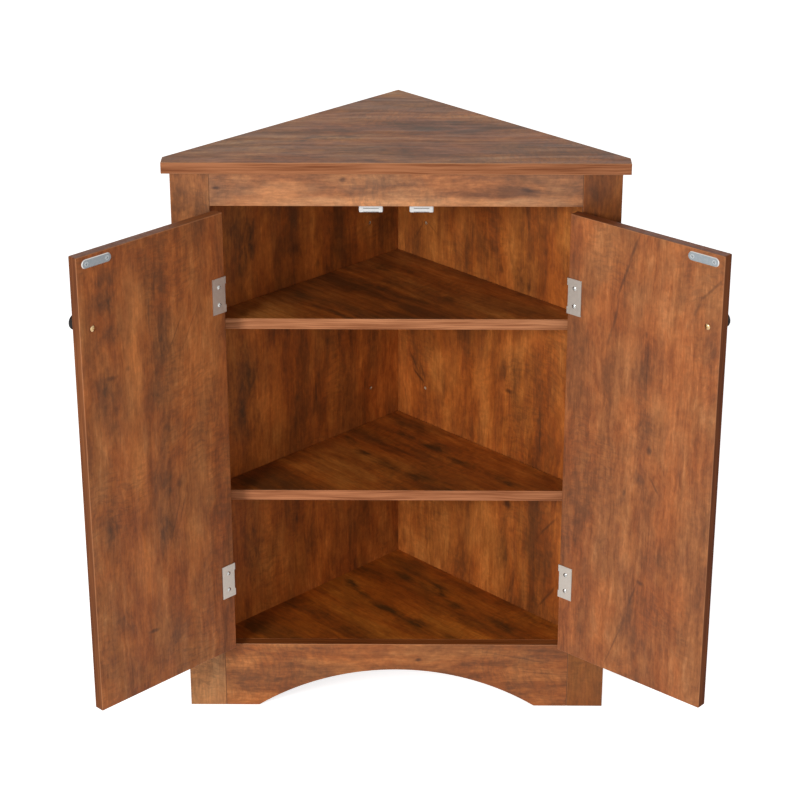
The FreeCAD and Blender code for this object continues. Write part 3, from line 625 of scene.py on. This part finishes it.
metal = {"Metallic": 1.0}
finishes = {
    "nickel": makeFinish("nickel", (0.47, 0.43, 0.38), (0.53, 0.49, 0.44), (0.34, 0.42), metal, 0.0),
    "zinc": makeFinish("zinc", (0.24, 0.27, 0.29), (0.36, 0.40, 0.42), (0.26, 0.40), metal, 0.0),
    "platedScrew": makeFinish("platedScrew", (0.30, 0.32, 0.33), (0.46, 0.48, 0.49), (0.16, 0.26), metal),
    "screwSteel": makeFinish("screwSteel", (0.40, 0.40, 0.39), (0.60, 0.60, 0.58), (0.14, 0.24), metal),
    "brass": makeFinish("brass", (0.40, 0.26, 0.12), (0.62, 0.44, 0.24), (0.16, 0.28), metal),
    "bronze": makeFinish("bronze", (0.008, 0.006, 0.006), (0.020, 0.015, 0.013), (0.14, 0.26),
                         {"Specular IOR Level": 0.20}),
    "whitePlastic": makeFinish("whitePlastic", (0.72, 0.72, 0.71), (0.80, 0.80, 0.79), (0.36, 0.46),
                               {}, 0.02),
    "ferrite": makeFinish("ferrite", (0.035, 0.033, 0.032), (0.075, 0.072, 0.070), (0.55, 0.75),
                          {}, 0.2),
    "beech": makeFinish("beech", (0.46, 0.29, 0.15), (0.60, 0.41, 0.24), (0.55, 0.70), {}, 0.2),
}
strike = {"dark": (0.22, 0.25, 0.27), "light": (0.33, 0.36, 0.38), "rough": (0.26, 0.40),
          "rim": (0.66, 0.63, 0.60, 1.0)}


def strikeFinish(side):
    # the plate is dull zinc; its chamfered rim is painted lighter, partly rubbing wear and partly a painted
    # highlight
    return makeFinish(side + "strikeZinc", strike["dark"], strike["light"], strike["rough"], metal, 0.0,
                      doorFace[side.strip("_")], strike["rim"])


sides = ("left_", "right_")
levels = ("upper_", "lower_")
for side in sides:
    dress(finishes["whitePlastic"], side + "catch_body")
    dress(finishes["ferrite"], side + "catch_magnet")
    dress(finishes["ferrite"], side + "catch_poles")
    dress(strikeFinish(side), side + "strike_plate")
    dress(finishes["platedScrew"], side + "strike_screws")
    dress(finishes["screwSteel"], side + "catch_screws", side + "hinge_frame_screws",
          side + "hinge_door_screws")
    dress(finishes["bronze"], side + "knob")
    dress(finishes["brass"], side + "knob_screw")
    for level in levels:
        hinge = side + level + "hinge_"
        dress(finishes["nickel"], hinge + "frame_leaf", hinge + "door_leaf", hinge + "pin")
for level in levels:
    dress(finishes["zinc"], level + "shelf_pins")
dress(finishes["screwSteel"], "cam_bolts", "corner_screws")
dress(finishes["zinc"], "cam_discs")
dress(finishes["beech"], "frame_dowels")
print("fittings dressed")


# studio: pale floor, white surroundings, soft key from the front left and a wide fill

studio = {
    "ambient": 0.36, "white": (1.0, 1.0, 1.0, 1.0),
    "floorSide": 16.0, "floorDrop": 0.0005, "floorGlow": 0.80,
    "floor": {"Base Color": (0.90, 0.90, 0.90, 1.0), "Roughness": 0.9, "Specular IOR Level": 0.0},
}


def seenDirectly(tree):
    rays = tree.nodes.new("ShaderNodeLightPath").outputs
    seen = calc(tree, "MAXIMUM", rays["Is Camera Ray"], rays["Is Glossy Ray"])
    return calc(tree, "MAXIMUM", seen, rays["Is Transmission Ray"])


def makeWorld():
    world = bpy.data.worlds.new("studio")
    bpy.context.scene.world = world
    world.use_nodes = True
    tree = world.node_tree
    strength = fit(tree, seenDirectly(tree), 0.0, 1.0, studio["ambient"], 1.0)
    background = tree.nodes["Background"]
    background.inputs["Color"].default_value = studio["white"]
    tree.links.new(strength, background.inputs["Strength"])


def makeFloor():
    material, tree, shader = newMaterial("paleFloor", studio["floor"])
    strength = calc(tree, "MULTIPLY", seenDirectly(tree), studio["floorGlow"])
    glow = put(tree, "Emission", {"Color": studio["white"], "Strength": strength})
    both = put(tree, "AddShader", {0: shader.outputs[0], 1: glow.outputs[0]})
    tree.links.new(both.outputs[0], tree.nodes["Material Output"].inputs["Surface"])
    mesh = bpy.data.meshes.new("floor")
    form = bmesh.new()
    bmesh.ops.create_grid(form, x_segments=1, y_segments=1, size=studio["floorSide"] / 2)
    bmesh.ops.translate(form, verts=form.verts, vec=(0.0, 0.0, -studio["floorDrop"]))
    form.to_mesh(mesh)
    form.free()
    mesh.materials.append(material)
    floor = bpy.data.objects.new("floor", mesh)
    bpy.context.scene.collection.objects.link(floor)


lamps = {
    "key": {"place": (-2.0, -3.4, 1.9), "aim": (0.0, -0.2, 0.45), "side": 1.0, "power": 84.0},
    "fill": {"place": (1.0, -4.6, 1.3), "aim": (0.0, -0.2, 0.45), "side": 2.6, "power": 20.0},
}


def addLamp(name, place, aim, side, power):
    light = bpy.data.lights.new(name, "AREA")
    light.size = side
    light.energy = power
    lamp = bpy.data.objects.new(name, light)
    lamp.location = place
    lamp.rotation_euler = (Vector(aim) - Vector(place)).to_track_quat("-Z", "Y").to_euler()
    bpy.context.scene.collection.objects.link(lamp)


view = {"place": (0.0297, -3.1335, 1.7441), "tilt": 65.76, "swing": 0.50, "lens": 105.82, "sensor": 36.0}


def addCamera():
    camera = bpy.data.objects.new("camera", bpy.data.cameras.new("camera"))
    camera.data.lens = view["lens"]
    camera.data.sensor_width = view["sensor"]
    camera.location = view["place"]
    camera.rotation_euler = (math.radians(view["tilt"]), 0.0, math.radians(view["swing"]))
    bpy.context.scene.collection.objects.link(camera)
    bpy.context.scene.camera = camera


makeWorld()
makeFloor()
for name, lamp in lamps.items():
    addLamp(name, **lamp)
addCamera()
bpy.context.scene.view_settings.view_transform = "Standard"
print("studio ready")
